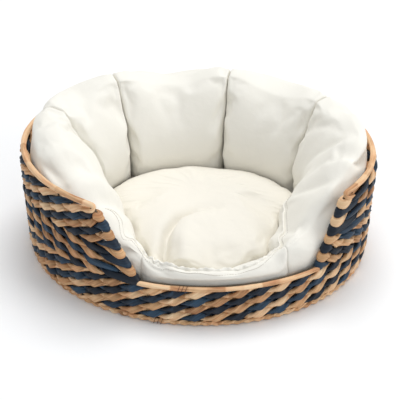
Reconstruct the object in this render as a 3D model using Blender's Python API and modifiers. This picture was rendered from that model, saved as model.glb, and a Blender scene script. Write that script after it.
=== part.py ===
"""Wicker pet bed basket with a padded bolster ring and a seat pad.

Metres, +Z up.  The origin is the middle of the flat underside, +X runs along the
long axis and -Y points to the low front.  Angles are the parameter of the plan
ellipse: 0 degrees is +X, 90 degrees is the back and 270 degrees the front.
"""

import math

import bmesh
import bpy
import numpy as np

# Basket wall: the sheet that the upright wires stand in, as plan half-axes.
FOOT_HALF = (0.2635, 0.2190)
RIM_HALF = (0.2680, 0.2005)
RIM_WIRE_Z = 0.1740
LOW_WIRE_Z = 0.0665
FOOT_WIRE_Z = 0.0066
# The cut-out in the front wall: ellipse angles of its two sloping edges.
CUT_LOW = (255.0, 317.6)
CUT_HIGH = (240.5, 328.4)

# Wire frame.
UPRIGHTS = 48
FIRST_UPRIGHT = 267.5
WALL_LINE_POINTS = 1441
RING_WIRE_R = 0.0020
UPRIGHT_WIRE_R = 0.0014
BASE_WIRES = 7
BASE_WIRE_SPACING = 0.062
BASE_WIRE_Z = 0.0072
RIM_STEPS = 38
FRONT_STEPS = 12
SLOPE_STEPS = 5
WELD = 0.00001

# Twined rows: one strand lies outside the uprights and one inside them.
ROWS = 12
CLOSED_ROWS = 4
ROW_BOTTOM = 0.0098
ROW_PITCH = 0.0131
ROW_GAP = 0.0006
STRAND_NEAR = 0.0026
STRAND_FAR = 0.0075
EDGE_OVERHANG_DEG = 1.5
OPEN_STEPS = 45

# Bindings over the rim wires, and the border round the foot.
BINDING_HALF = 0.0050
BINDING_SLOT = 0.0026
BINDING_BELOW = 0.0044
BINDING_ABOVE = 0.0052
HIGH_BINDING_BELOW = 0.0066
FRONT_BINDING_ENDS = (257.6, 315.6)
FOOT_FLANGE_TOP = 0.0043
FOOT_BORDER_TOP = 0.0092
MAT_THICKNESS = 0.0050
CLEARANCE = 0.0004

# Bolster ring.  Stations: angle, thickness from outside to inside, crest height.
BOLSTER_HALF = (0.2555, 0.1900)
FRONT_BULGE = 0.0130
FRONT_BULGE_EDGES = (246.0, 262.0, 308.0, 322.0)
CUSHION_BOTTOM = 0.0096
STATIONS = (
    (0.0, 0.099, 0.211),
    (38.6, 0.102, 0.216),
    (81.6, 0.100, 0.217),
    (128.6, 0.100, 0.217),
    (169.8, 0.096, 0.214),
    (205.0, 0.100, 0.208),
    (225.0, 0.094, 0.178),
    (238.0, 0.074, 0.138),
    (250.0, 0.044, 0.103),
    (258.0, 0.032, 0.090),
    (285.0, 0.030, 0.089),
    (300.0, 0.040, 0.091),
    (312.0, 0.080, 0.112),
    (330.0, 0.102, 0.170),
    (345.0, 0.104, 0.202),
)
CHAMBERS = (
    ("right_back", 38.6, 81.6),
    ("back", 81.6, 128.6),
    ("left_back", 128.6, 169.8),
    ("left_front", 169.8, 255.6),
    ("front", 255.6, 306.3),
    ("right_front", 306.3, 398.6),
)
SECTION_POINTS = 12
SECTION_POWER = 2.6
INNER_LEAN = 0.40
LEAN_BELOW = 0.20
DEGREES_PER_SECTION = 9.0
FEWEST_SECTIONS = 5
CLOTH = 0.0012
FILL_INSET = 0.0060
SEAM_GAP_DEG = 0.12

# Seat pad, lying inside the bolster ring.
PAD_POINTS = 40
PAD_GAP = 0.0040
PAD_MIDDLE = 0.0460
PAD_TOP = 0.0880
# Rings from the pad's edge to its middle: share of the outline, share of the height.
PAD_RINGS = ((1.0, 0.0), (0.985, 0.42), (0.94, 0.78), (0.80, 0.95), (0.42, 1.0))


def smooth(share):
    """Ease from 0 to 1 with level ends."""
    share = np.clip(share, 0.0, 1.0)
    return share * share * (3.0 - 2.0 * share)


def half_axes(height):
    """Plan half-axes of the upright wires' sheet at a height."""
    share = height / RIM_WIRE_Z
    return tuple(foot + (rim - foot) * share for foot, rim in zip(FOOT_HALF, RIM_HALF))


def ellipse_point(half, degrees, offset):
    """Point on an ellipse at a parameter angle, moved along its outward normal."""
    turn = math.radians(degrees)
    cos, sin = math.cos(turn), math.sin(turn)
    normal = np.array((cos / half[0], sin / half[1]))
    normal /= np.linalg.norm(normal)
    return np.array((half[0] * cos, half[1] * sin)) + normal * offset


def wall_point(degrees, height, offset=0.0):
    """Point of the wall, a given distance outside the sheet of the uprights."""
    x, y = ellipse_point(half_axes(height), degrees, offset)
    return (x, y, height)


def upright_angles():
    """Angles that space the uprights evenly along the wall, the first one at the front."""
    turns = np.linspace(FIRST_UPRIGHT, FIRST_UPRIGHT + 360.0, WALL_LINE_POINTS)
    line = np.array([ellipse_point(half_axes(LOW_WIRE_Z), t, 0.0) for t in turns])
    steps = np.linalg.norm(np.diff(line, axis=0), axis=1)
    along = np.concatenate(([0.0], np.cumsum(steps)))
    places = along[-1] * np.arange(UPRIGHTS) / UPRIGHTS
    return np.interp(places, along, turns) % 360.0


def cut_angles(height):
    """Angles of the front cut-out's left and right edges at a height."""
    share = (height - LOW_WIRE_Z) / (RIM_WIRE_Z - LOW_WIRE_Z)
    share = min(max(share, 0.0), 1.0)
    return tuple(low + (high - low) * share for low, high in zip(CUT_LOW, CUT_HIGH))


def rim_height(degrees):
    """Height of the rim wire at an angle: high all round, low across the front."""
    left = (degrees - CUT_HIGH[0]) / (CUT_LOW[0] - CUT_HIGH[0])
    right = (CUT_HIGH[1] - degrees) / (CUT_HIGH[1] - CUT_LOW[1])
    share = min(max(min(left, right), 0.0), 1.0)
    return RIM_WIRE_Z + (LOW_WIRE_Z - RIM_WIRE_Z) * share


def material(name, colour, roughness, metallic=0.0):
    """Principled material with a plain colour."""
    made = bpy.data.materials.new(name)
    made.use_nodes = True
    shader = made.node_tree.nodes["Principled BSDF"]
    shader.inputs["Base Color"].default_value = (*colour, 1.0)
    shader.inputs["Roughness"].default_value = roughness
    shader.inputs["Metallic"].default_value = metallic
    return made


def add(name, data, look):
    """Put a mesh or curve into the basket's collection under a name."""
    piece = bpy.data.objects.new(name, data)
    piece.data.materials.append(look)
    BED.objects.link(piece)
    return piece


def mesh_of(name, points, faces):
    """Mesh from points and faces, with its normals made to face outwards."""
    mesh = bpy.data.meshes.new(name)
    mesh.from_pydata([tuple(point) for point in points], [], faces)
    work = bmesh.new()
    work.from_mesh(mesh)
    bmesh.ops.recalc_face_normals(work, faces=work.faces)
    work.to_mesh(mesh)
    work.free()
    return mesh


def loft(name, sections, closed, caps):
    """Skin over a row of sections that all have the same number of points."""
    count, size = len(sections), len(sections[0])
    faces = []
    for row in range(count if closed else count - 1):
        here, there = row * size, (row + 1) % count * size
        for i in range(size):
            j = (i + 1) % size
            faces.append((here + i, here + j, there + j, there + i))
    if caps:
        faces.append(tuple(range(size)))
        faces.append(tuple(range((count - 1) * size, count * size)))
    return mesh_of(name, [point for section in sections for point in section], faces)


def thicken(piece, thickness, offset):
    """Give an open surface its wall."""
    wall = piece.modifiers.new("wall", "SOLIDIFY")
    wall.thickness = thickness
    wall.offset = offset
    wall.use_even_offset = True


def strand(name, row, offset, look):
    """One strand of a twined row, as a flat band on its side of the uprights."""
    low = ROW_BOTTOM + row * ROW_PITCH
    high = low + ROW_PITCH - ROW_GAP
    closed = row < CLOSED_ROWS
    rails = []
    for height in (low, high):
        left, right = cut_angles(height)
        turns = np.linspace(right - 360.0 - EDGE_OVERHANG_DEG, left + EDGE_OVERHANG_DEG, OPEN_STEPS)
        if closed:
            turns = sorted(upright_angles())
        rails.append([wall_point(turn, height, offset) for turn in turns])
    work = bmesh.new()
    edges = []
    for rail in rails:
        points = [work.verts.new(point) for point in rail]
        pairs = list(zip(points, points[1:]))
        if closed:
            pairs.append((points[-1], points[0]))
        edges += [work.edges.new(pair) for pair in pairs]
    bmesh.ops.bridge_loops(work, edges=edges)
    bmesh.ops.recalc_face_normals(work, faces=work.faces)
    mesh = bpy.data.meshes.new(name)
    work.to_mesh(mesh)
    work.free()
    thicken(add(name, mesh, look), STRAND_FAR - STRAND_NEAR, 0.0)


def weave():
    """All rows: the strand that shows outside is navy and natural in turn."""
    navy = material("navy_fibre", (0.030, 0.055, 0.105), 0.6)
    natural = material("natural_fibre", (0.62, 0.42, 0.22), 0.6)
    middle = (STRAND_NEAR + STRAND_FAR) / 2.0
    for row in range(ROWS):
        side = 1.0 if row % 2 == 0 else -1.0
        strand(f"row_{row + 1:02d}_navy_strand", row, side * middle, navy)
        strand(f"row_{row + 1:02d}_natural_strand", row, -side * middle, natural)


def wire(points, radius, closed=False, sides=1):
    """Mesh object of a round wire through points; sides is the bevel resolution."""
    curve = bpy.data.curves.new("wire", "CURVE")
    curve.dimensions = "3D"
    curve.bevel_depth = radius
    curve.bevel_resolution = sides
    curve.use_fill_caps = not closed
    line = curve.splines.new("POLY")
    line.points.add(len(points) - 1)
    line.use_cyclic_u = closed
    for place, point in zip(line.points, points):
        place.co = (*point, 1.0)
    return solid_from(curve)


def solid_from(curve):
    """Welded mesh of a curve."""
    holder = bpy.data.objects.new("holder", curve)
    bpy.context.scene.collection.objects.link(holder)
    ready = holder.evaluated_get(bpy.context.evaluated_depsgraph_get())
    mesh = bpy.data.meshes.new_from_object(ready)
    bpy.data.objects.remove(holder)
    bpy.data.curves.remove(curve)
    work = bmesh.new()
    work.from_mesh(mesh)
    bmesh.ops.remove_doubles(work, verts=work.verts, dist=WELD)
    bmesh.ops.recalc_face_normals(work, faces=work.faces)
    work.to_mesh(mesh)
    work.free()
    return mesh


def joined(name, meshes):
    """One mesh that holds several."""
    work = bmesh.new()
    for mesh in meshes:
        work.from_mesh(mesh)
        bpy.data.meshes.remove(mesh)
    mesh = bpy.data.meshes.new(name)
    work.to_mesh(mesh)
    work.free()
    return mesh


def rim_path():
    """Closed path of the rim wire: along the high rim and down round the low front."""
    turns = list(np.linspace(CUT_HIGH[1] - 360.0, CUT_HIGH[0], RIM_STEPS))
    turns += list(np.linspace(CUT_HIGH[0], CUT_LOW[0], SLOPE_STEPS))[1:-1]
    turns += list(np.linspace(*CUT_LOW, FRONT_STEPS))
    turns += list(np.linspace(CUT_LOW[1], CUT_HIGH[1], SLOPE_STEPS))[1:-1]
    return [wall_point(turn, rim_height(turn % 360.0)) for turn in turns]


def wire_frame():
    """Welded wires: foot ring, rim loop, uprights, and cross wires in the base."""
    foot = [wall_point(turn, FOOT_WIRE_Z) for turn in sorted(upright_angles())]
    rings = [wire(foot, RING_WIRE_R, closed=True, sides=2)]
    rings.append(wire(rim_path(), RING_WIRE_R, closed=True, sides=2))
    rods = []
    for turn in upright_angles():
        ends = (FOOT_WIRE_Z, rim_height(turn))
        rods.append(wire([wall_point(turn, z) for z in ends], UPRIGHT_WIRE_R))
    half = half_axes(FOOT_WIRE_Z)
    for number in range(BASE_WIRES):
        x = (number - (BASE_WIRES - 1) / 2.0) * BASE_WIRE_SPACING
        y = half[1] * math.sqrt(1.0 - (x / half[0]) ** 2)
        rods.append(wire([(x, -y, BASE_WIRE_Z), (x, y, BASE_WIRE_Z)], UPRIGHT_WIRE_R))
    look = material("frame_wire", (0.16, 0.15, 0.14), 0.45, 0.8)
    frame = add("wire_frame", joined("rings", rings), look)
    helper = bpy.data.objects.new("rods", joined("rods", rods))
    helper.hide_render = True
    helper.display_type = "WIRE"
    CUTTERS.objects.link(helper)
    weld = frame.modifiers.new("weld_rods", "BOOLEAN")
    weld.operation = "UNION"
    weld.object = helper
    weld.use_self = True


def moulding(name, profile, turns, height, closed, look):
    """Profile of (offset, height) pairs carried along the wall between angles."""
    sections = []
    for turn in turns:
        plan = [ellipse_point(half_axes(height), turn, offset) for offset, _ in profile]
        sections.append([(x, y, z) for (x, y), (_, z) in zip(plan, profile)])
    add(name, loft(name, sections, closed, caps=not closed), look)


def binding(name, wire_z, below, turns, look):
    """Wrapped band over a rim wire, open underneath for the uprights."""
    low, high, roof = wire_z - below, wire_z + BINDING_ABOVE, wire_z + BINDING_SLOT
    half, slot = BINDING_HALF, BINDING_SLOT
    profile = ((-half, low), (-half, high), (half, high), (half, low))
    profile += ((slot, low), (slot, roof), (-slot, roof), (-slot, low))
    moulding(name, profile, turns, wire_z, False, look)


def bindings_and_foot():
    """Band along the high rim, band along the low front, and the foot border."""
    look = material("natural_binding", (0.66, 0.46, 0.25), 0.6)
    high = np.linspace(CUT_HIGH[1] - 360.0, CUT_HIGH[0], RIM_STEPS)
    binding("high_rim_binding", RIM_WIRE_Z, HIGH_BINDING_BELOW, high, look)
    low = np.linspace(*FRONT_BINDING_ENDS, FRONT_STEPS)
    binding("front_rim_binding", LOW_WIRE_Z, BINDING_BELOW, low, look)
    profile = ((-STRAND_FAR, 0.0), (STRAND_FAR, 0.0), (STRAND_FAR, FOOT_BORDER_TOP))
    profile += ((STRAND_NEAR, FOOT_BORDER_TOP), (STRAND_NEAR, FOOT_FLANGE_TOP))
    profile += ((-STRAND_FAR, FOOT_FLANGE_TOP),)
    moulding("foot_border", profile, sorted(upright_angles()), 0.0, True, look)


def base_mat():
    """Woven oval mat that closes the bottom, lying inside the foot border."""
    curve = bpy.data.curves.new("mat", "CURVE")
    curve.dimensions = "2D"
    curve.fill_mode = "BOTH"
    curve.extrude = MAT_THICKNESS / 2.0
    line = curve.splines.new("POLY")
    angles = sorted(upright_angles())
    line.points.add(len(angles) - 1)
    line.use_cyclic_u = True
    for place, turn in zip(line.points, angles):
        x, y = ellipse_point(half_axes(0.0), turn, -STRAND_FAR - CLEARANCE)
        place.co = (x, y, 0.0, 1.0)
    mat = add("base_mat", solid_from(curve), material("mat_fibre", (0.60, 0.42, 0.24), 0.65))
    mat.location.z = MAT_THICKNESS / 2.0


def bolster_shape(degrees):
    """Thickness and crest height of the bolster at an angle, eased between stations."""
    turn = degrees % 360.0
    rows = STATIONS + ((360.0,) + STATIONS[0][1:],)
    for start, end in zip(rows, rows[1:]):
        if turn <= end[0]:
            share = smooth((turn - start[0]) / (end[0] - start[0]))
            return tuple(a + (b - a) * share for a, b in zip(start[1:], end[1:]))
    raise ValueError(degrees)


def bolster_plan(degrees, inwards):
    """Plan point a distance inside the bolster's outer face."""
    turn = degrees % 360.0
    rise, full, fall, end = FRONT_BULGE_EDGES
    share = smooth((turn - rise) / (full - rise)) - smooth((turn - fall) / (end - fall))
    half = (BOLSTER_HALF[0], BOLSTER_HALF[1] + FRONT_BULGE * share)
    return ellipse_point(half, degrees, -inwards)


def bolster_section(degrees, inset):
    """Rounded section of the bolster, its inner face leaning out towards the crest."""
    thickness, crest = bolster_shape(degrees)
    half_wide = thickness / 2.0 - inset
    half_high = (crest - CUSHION_BOTTOM) / 2.0 - inset
    middle = (crest + CUSHION_BOTTOM) / 2.0
    points = []
    for number in range(SECTION_POINTS):
        turn = 2.0 * math.pi * (number + 0.5) / SECTION_POINTS
        across = math.copysign(abs(math.cos(turn)) ** (2.0 / SECTION_POWER), math.cos(turn))
        up = math.copysign(abs(math.sin(turn)) ** (2.0 / SECTION_POWER), math.sin(turn))
        lean = 1.0 - INNER_LEAN * smooth((up + LEAN_BELOW) / (1.0 + LEAN_BELOW))
        inwards = inset + half_wide * (1.0 + across) * lean
        x, y = bolster_plan(degrees, inwards)
        points.append((x, y, middle + half_high * up))
    return points


def chamber(name, start, end, cloth, fibre):
    """One chamber of the bolster: a sewn cover open at its seams, and its filling."""
    count = max(FEWEST_SECTIONS, round((end - start) / DEGREES_PER_SECTION))
    turns = np.linspace(start + SEAM_GAP_DEG, end - SEAM_GAP_DEG, count)
    outer = loft(name, [bolster_section(turn, 0.0) for turn in turns], False, False)
    cover = add(f"{name}_cover", outer, cloth)
    thicken(cover, CLOTH, -1.0)
    core = loft(name, [bolster_section(turn, FILL_INSET) for turn in turns], False, True)
    add(f"{name}_filling", core, fibre)


def bolster():
    """The padded ring, chamber by chamber."""
    cloth = material("cotton_cover", (0.86, 0.84, 0.78), 0.85)
    fibre = material("fibre_filling", (0.90, 0.90, 0.88), 0.95)
    for name, start, end in CHAMBERS:
        chamber(f"bolster_{name}", start, end, cloth, fibre)


def pad_ring(share, height, inset):
    """Ring of the pad: its outline shrunk towards the middle, at a height."""
    ring = []
    for number in range(PAD_POINTS):
        turn = 360.0 * number / PAD_POINTS
        thickness, _ = bolster_shape(turn)
        x, y = bolster_plan(turn, thickness + PAD_GAP + inset)
        ring.append((x * share, y * share, height))
    return ring


def pad_half(name, tip, inset):
    """Open half of the pad, from its edge to its flat top or bottom."""
    reach = tip - PAD_MIDDLE
    reach -= math.copysign(inset, reach)
    rings = [pad_ring(share, PAD_MIDDLE + rise * reach, inset) for share, rise in PAD_RINGS]
    mesh = loft(name, rings, False, False)
    work = bmesh.new()
    work.from_mesh(mesh)
    work.verts.ensure_lookup_table()
    bmesh.ops.contextual_create(work, geom=work.verts[-PAD_POINTS:])
    bmesh.ops.recalc_face_normals(work, faces=work.faces)
    if tip < PAD_MIDDLE and work.faces[-1].normal.z > 0.0:
        bmesh.ops.reverse_faces(work, faces=work.faces)
    if tip > PAD_MIDDLE and work.faces[-1].normal.z < 0.0:
        bmesh.ops.reverse_faces(work, faces=work.faces)
    work.to_mesh(mesh)
    work.free()
    return mesh


def seat_pad():
    """The pad: top panel and bottom panel meeting at the edge seam, and its filling."""
    cloth = material("pad_cover", (0.86, 0.84, 0.78), 0.85)
    fibre = material("pad_fibre", (0.90, 0.90, 0.88), 0.95)
    seam = CLEARANCE
    top = add("seat_pad_top_panel", pad_half("top", PAD_TOP, 0.0), cloth)
    top.location.z = seam
    thicken(top, CLOTH, -1.0)
    bottom = add("seat_pad_bottom_panel", pad_half("bottom", CUSHION_BOTTOM, 0.0), cloth)
    bottom.location.z = -seam
    thicken(bottom, CLOTH, -1.0)
    upper = [pad_ring(s, PAD_MIDDLE + r * (PAD_TOP - PAD_MIDDLE - FILL_INSET), FILL_INSET)
             for s, r in PAD_RINGS]
    lower = [pad_ring(s, PAD_MIDDLE - r * (PAD_MIDDLE - CUSHION_BOTTOM - FILL_INSET), FILL_INSET)
             for s, r in PAD_RINGS[1:]]
    core = loft("core", lower[::-1] + upper, False, True)
    add("seat_pad_filling", core, fibre)


for old in list(bpy.data.objects):
    bpy.data.objects.remove(old, do_unlink=True)
BED = bpy.data.collections.new("wicker_pet_bed_basket")
CUTTERS = bpy.data.collections.new("joining_helpers")
bpy.context.scene.collection.children.link(BED)
bpy.context.scene.collection.children.link(CUTTERS)
weave()
wire_frame()
bindings_and_foot()
base_mat()
bolster()
seat_pad()
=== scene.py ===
"""Wicker pet bed basket: twined plant-fibre wall on a wire frame, cotton bolster ring and seat pad."""

import math

import bpy
import numpy as np
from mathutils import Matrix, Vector


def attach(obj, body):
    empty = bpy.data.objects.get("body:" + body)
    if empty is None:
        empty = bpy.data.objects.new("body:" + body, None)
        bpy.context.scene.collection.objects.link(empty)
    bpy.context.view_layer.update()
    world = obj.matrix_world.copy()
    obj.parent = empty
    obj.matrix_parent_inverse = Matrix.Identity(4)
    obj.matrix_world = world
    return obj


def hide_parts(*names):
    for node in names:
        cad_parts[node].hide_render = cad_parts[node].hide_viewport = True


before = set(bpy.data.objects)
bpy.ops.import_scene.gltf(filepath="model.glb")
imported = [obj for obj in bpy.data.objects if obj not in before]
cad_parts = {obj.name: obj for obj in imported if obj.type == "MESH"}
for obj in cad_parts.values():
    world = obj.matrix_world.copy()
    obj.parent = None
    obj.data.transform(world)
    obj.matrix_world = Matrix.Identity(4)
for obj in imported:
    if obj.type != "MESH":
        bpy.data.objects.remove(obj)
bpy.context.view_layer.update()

# ---------------------------------------------------------------------------
# Camera: a long lens that looks down over the low front, a little from the right.
CAMERA_TURN = math.radians(5.99)
CAMERA_RISE = math.radians(36.01)
CAMERA_DISTANCE = 1.8626
CAMERA_AIM = Vector((0.0040, 0.0004, 0.0680))
CAMERA_LENS = 105.3
CAMERA_SENSOR = 36.0

camera_data = bpy.data.cameras.new("camera")
camera_data.lens = CAMERA_LENS
camera_data.sensor_width = CAMERA_SENSOR
camera = bpy.data.objects.new("camera", camera_data)
bpy.context.scene.collection.objects.link(camera)
away = Vector((
    math.sin(CAMERA_TURN) * math.cos(CAMERA_RISE),
    -math.cos(CAMERA_TURN) * math.cos(CAMERA_RISE),
    math.sin(CAMERA_RISE),
))
camera.location = CAMERA_AIM + away * CAMERA_DISTANCE
camera.rotation_euler = away.to_track_quat("Z", "Y").to_euler()
bpy.context.scene.camera = camera

# ---------------------------------------------------------------------------
# Floor and light: a white sweep under a broad overhead light, with a softer one in front.
FLOOR_SIZE = 8.0
FLOOR_COLOUR = (0.95, 0.955, 0.96, 1.0)
FLOOR_ROUGHNESS = 0.7
SKY_COLOUR = (0.96, 0.98, 1.0, 1.0)
SKY_STRENGTH = 0.52
# Each light: place, power in watts, size in metres.
LIGHTS = {
    "key": ((0.3, 1.4, 4.2), 118.0, 2.6),
    "side": ((3.4, -0.9, 1.3), 34.0, 1.6),
    "front": ((-0.6, -3.0, 2.4), 9.0, 1.6),
}

bpy.ops.mesh.primitive_plane_add(size=FLOOR_SIZE)
floor = bpy.context.object
floor.name = "floor"
floor_look = bpy.data.materials.new("floor_white")
floor_look.use_nodes = True
floor_shader = floor_look.node_tree.nodes["Principled BSDF"]
floor_shader.inputs["Base Color"].default_value = FLOOR_COLOUR
floor_shader.inputs["Roughness"].default_value = FLOOR_ROUGHNESS
floor.data.materials.append(floor_look)

for light_name, (place, power, size) in LIGHTS.items():
    light_data = bpy.data.lights.new(light_name, "AREA")
    light_data.energy = power
    light_data.size = size
    light = bpy.data.objects.new(light_name, light_data)
    light.location = place
    light.rotation_euler = (Vector(place) - CAMERA_AIM).to_track_quat("Z", "Y").to_euler()
    bpy.context.scene.collection.objects.link(light)

sky = bpy.data.worlds.new("studio")
sky.use_nodes = True
sky.node_tree.nodes["Background"].inputs["Color"].default_value = SKY_COLOUR
sky.node_tree.nodes["Background"].inputs["Strength"].default_value = SKY_STRENGTH
bpy.context.scene.world = sky
bpy.context.scene.view_settings.view_transform = "Standard"

# ---------------------------------------------------------------------------
# Twined rows: two strands of twisted plant leaf, one dyed navy and one natural, pass in
# front of and behind the wire uprights in turn and swap over between them.  The rows
# beside the front cut-out end in a turn round the sloping edge wire.
FOOT_HALF = np.array((0.2635, 0.2190))
RIM_HALF = np.array((0.2680, 0.2005))
RIM_WIRE_Z = 0.1740
LOW_WIRE_Z = 0.0665
CUT_LOW = (255.0, 317.6)
CUT_HIGH = (240.5, 328.4)
UPRIGHTS = 48
FIRST_UPRIGHT = 267.5
WALL_LINE_POINTS = 2881
ROWS = 12
CLOSED_ROWS = 4
ROW_BOTTOM = 0.0098
ROW_PITCH = 0.0131
# Groups of four rows twist the other way, which makes the weave's arrowheads.
ROWS_PER_TWIST = 4
# How far a strand swings out from the uprights, and up or down from its row's middle.
TWIST_REACH = (0.0043, 0.0034)
LEAF_HALF_THICK = 0.0031
LEAF_HALF_HIGH = 0.0068
# Share of its height that a leaf keeps where it crosses over between two uprights.
LEAF_WAIST = 0.74
LEAF_STEPS = 14
LEAF_SIDES = 20
LEAF_POWER = 2.5
RIDGE = 0.00042
RIDGE_STEPS = 9
# Ranges that each leaf is drawn from: height as a share, push outwards, shift upwards.
LEAF_GROW = (0.90, 1.10)
LEAF_PUSH = (-0.0005, 0.0007)
LEAF_SHIFT = (-0.0007, 0.0007)
# Turns at the cut-out, lengths in uprights: the shortest last leaf, the run of the outer
# strand round the edge wire and into its tail, and where the inner strand stops.
SHORTEST_SPAN = 0.32
TURN_RUN = 1.4
INNER_STOP = 0.34
LAST_LEAF = 0.75
TURN_REACH = 0.0050
TAIL = 0.014
KNUCKLE = {"navy": 1.16, "natural": 0.86}
NAVY = ((0.003, 0.006, 0.012), (0.008, 0.019, 0.038), (0.028, 0.075, 0.135))
NATURAL = ((0.30, 0.140, 0.060), (0.63, 0.380, 0.190), (0.87, 0.640, 0.405))
BLUSH = (0.97, 0.82, 0.76, 1.0)
BLUSH_RANGE = (0.42, 0.66)
# Noise in a leaf: cycles per metre along and across it, and octaves.
FINE_STREAKS = (34.0, 1500.0, 4.0)
BROAD_STREAKS = (22.0, 330.0, 2.0)
PATCHES = (38.0, 60.0, 2.0)
BLUSH_PATCHES = (26.0, 140.0, 1.0)
# What the fine and broad streaks, the patches and the leaf's own tone add to its colour.
TONE_WEIGHTS = (0.42, 0.62, 0.42, 0.50)
TONE_OFFSET = -0.48
TONE_STOPS = (0.14, 0.46, 0.86)
ROUGHNESS_SPREAD = (-0.10, 0.14)


def unit(vectors):
    """The vectors at length 1."""
    return vectors / np.linalg.norm(vectors, axis=-1, keepdims=True)


def length_along(line):
    """Length along a line of points, from its first point to each."""
    return np.concatenate([[0.0], np.cumsum(np.linalg.norm(np.diff(line, axis=0), axis=1))])


def squarer(wave, power):
    """sign(w) |w|^(2 / power): the sine or cosine of a section that is squarer than round."""
    return np.sign(wave) * np.abs(wave) ** (2.0 / power)


def half_axes(height):
    """Plan half-axes of the uprights' sheet: straight from the foot's to the rim's."""
    share = np.asarray(height)[..., None] / RIM_WIRE_Z
    return FOOT_HALF + (RIM_HALF - FOOT_HALF) * share


def wall(degrees, height, offset):
    """Points (a cos t, b sin t) of the wall, moved along the plan ellipse's normal."""
    turn = np.radians(degrees)
    half = half_axes(height)
    cos, sin = np.cos(turn), np.sin(turn)
    normal = unit(np.stack([cos / half[..., 0], sin / half[..., 1]], -1))
    out = normal * np.asarray(offset)[..., None]
    plan = np.stack([half[..., 0] * cos, half[..., 1] * sin], -1) + out
    return np.concatenate([plan, np.broadcast_to(height, cos.shape)[..., None]], -1)


# Places along the wall count the uprights, which stand evenly along it, the first in front.
TURNS = np.linspace(FIRST_UPRIGHT, FIRST_UPRIGHT + 360.0, WALL_LINE_POINTS)
ALONG = length_along(wall(TURNS, LOW_WIRE_Z, 0.0))
SPACING = ALONG[-1] / UPRIGHTS
COUNT = ALONG / SPACING


def turn_at(place):
    """Ellipse angle at a place along the wall, in uprights."""
    return np.interp(place % UPRIGHTS, COUNT, TURNS) + 360.0 * np.floor(place / UPRIGHTS)


def place_at(degrees):
    """Place along the wall, in uprights, at an ellipse angle."""
    rounds = np.floor((degrees - FIRST_UPRIGHT) / 360.0)
    return np.interp(degrees - 360.0 * rounds, TURNS, COUNT) + UPRIGHTS * rounds


def cut_places(height):
    """Places of the right and left edges of the wall at a height."""
    share = np.clip((height - LOW_WIRE_Z) / (RIM_WIRE_Z - LOW_WIRE_Z), 0.0, 1.0)
    left = CUT_LOW[0] + (CUT_HIGH[0] - CUT_LOW[0]) * share
    right = CUT_LOW[1] + (CUT_HIGH[1] - CUT_LOW[1]) * share
    return float(place_at(right)), float(place_at(left + 360.0))


def tube(name, rings, closed, tone):
    """Skin over rings of points, its ends closed to a point, with UVs in metres.

    The UV's first axis is the length along the path and its second the way round the
    section; tone is a number per ring that the material reads.
    """
    count, sides, _ = rings.shape
    lengths = length_along(rings.mean(1))
    row, side = np.meshgrid(np.arange(count if closed else count - 1), np.arange(sides), indexing="ij")
    corner_rows = np.stack([row, row, row + 1, row + 1], -1).reshape(-1, 4)
    corner_sides = np.stack([side, side + 1, side + 1, side], -1).reshape(-1, 4)
    faces = ((corner_rows % count) * sides + corner_sides % sides).tolist()
    points = rings.reshape(-1, 3)
    tones = np.repeat(tone, sides)
    girth = np.linalg.norm(rings[count // 2] - np.roll(rings[count // 2], -1, 0), axis=1).sum()
    step = girth / sides
    stretch = np.append(lengths, lengths[-1] + (lengths[1] - lengths[0]))
    uvs = [np.stack([stretch[corner_rows], corner_sides * step], -1).reshape(-1, 2)]
    if not closed:
        around = np.arange(sides)
        points = np.concatenate([points, rings[[0, -1]].mean(1)])
        tones = np.append(tones, tone[[0, -1]])
        first = np.stack([(around + 1) % sides, around, np.full(sides, count * sides)], -1)
        base = (count - 1) * sides
        tip = np.full(sides, count * sides + 1)
        last = np.stack([base + around, base + (around + 1) % sides, tip], -1)
        faces += first.tolist() + last.tolist()
        for end in (lengths[0], lengths[-1]):
            flat = np.stack([around + 1, around, around + 0.5], -1) * step
            uvs.append(np.stack([np.full((sides, 3), end), flat], -1).reshape(-1, 2))
    lead = rings[1:] - rings[:-1]
    spread = np.roll(rings, -1, 1)[:-1] - rings[:-1]
    outwards = rings[:-1] - rings[:-1].mean(1, keepdims=True)
    if np.einsum("ijk,ijk->", np.cross(spread, lead), outwards) < 0.0:
        faces = [face[::-1] for face in faces]
        flipped = []
        for block, corners in zip(uvs, (4, 3, 3)):
            flipped.append(block.reshape(-1, corners, 2)[:, ::-1].reshape(-1, 2))
        uvs = flipped
    mesh = bpy.data.meshes.new(name)
    mesh.from_pydata(points.tolist(), [], faces)
    layer = mesh.uv_layers.new(name="fibre")
    layer.data.foreach_set("uv", np.concatenate(uvs).astype(np.float32).ravel())
    mesh.attributes.new("tone", "FLOAT", "POINT").data.foreach_set("value", tones.astype(np.float32))
    mesh.shade_smooth()
    piece = bpy.data.objects.new(name, mesh)
    bpy.context.scene.collection.objects.link(piece)
    return piece


def ridged(dice, count, sides, period):
    """Long fibre ridges: random heights round the section that drift slowly along it."""
    knots = max(3, count // period)
    loose = dice.normal(0.0, 1.0, (knots, sides))
    at = np.linspace(0.0, knots - 1.0, count)
    low = np.minimum(at.astype(int), knots - 2)
    share = (at - low)[:, None]
    return np.clip(loose[low] * (1.0 - share) + loose[low + 1] * share, -1.6, 1.6)


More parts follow.
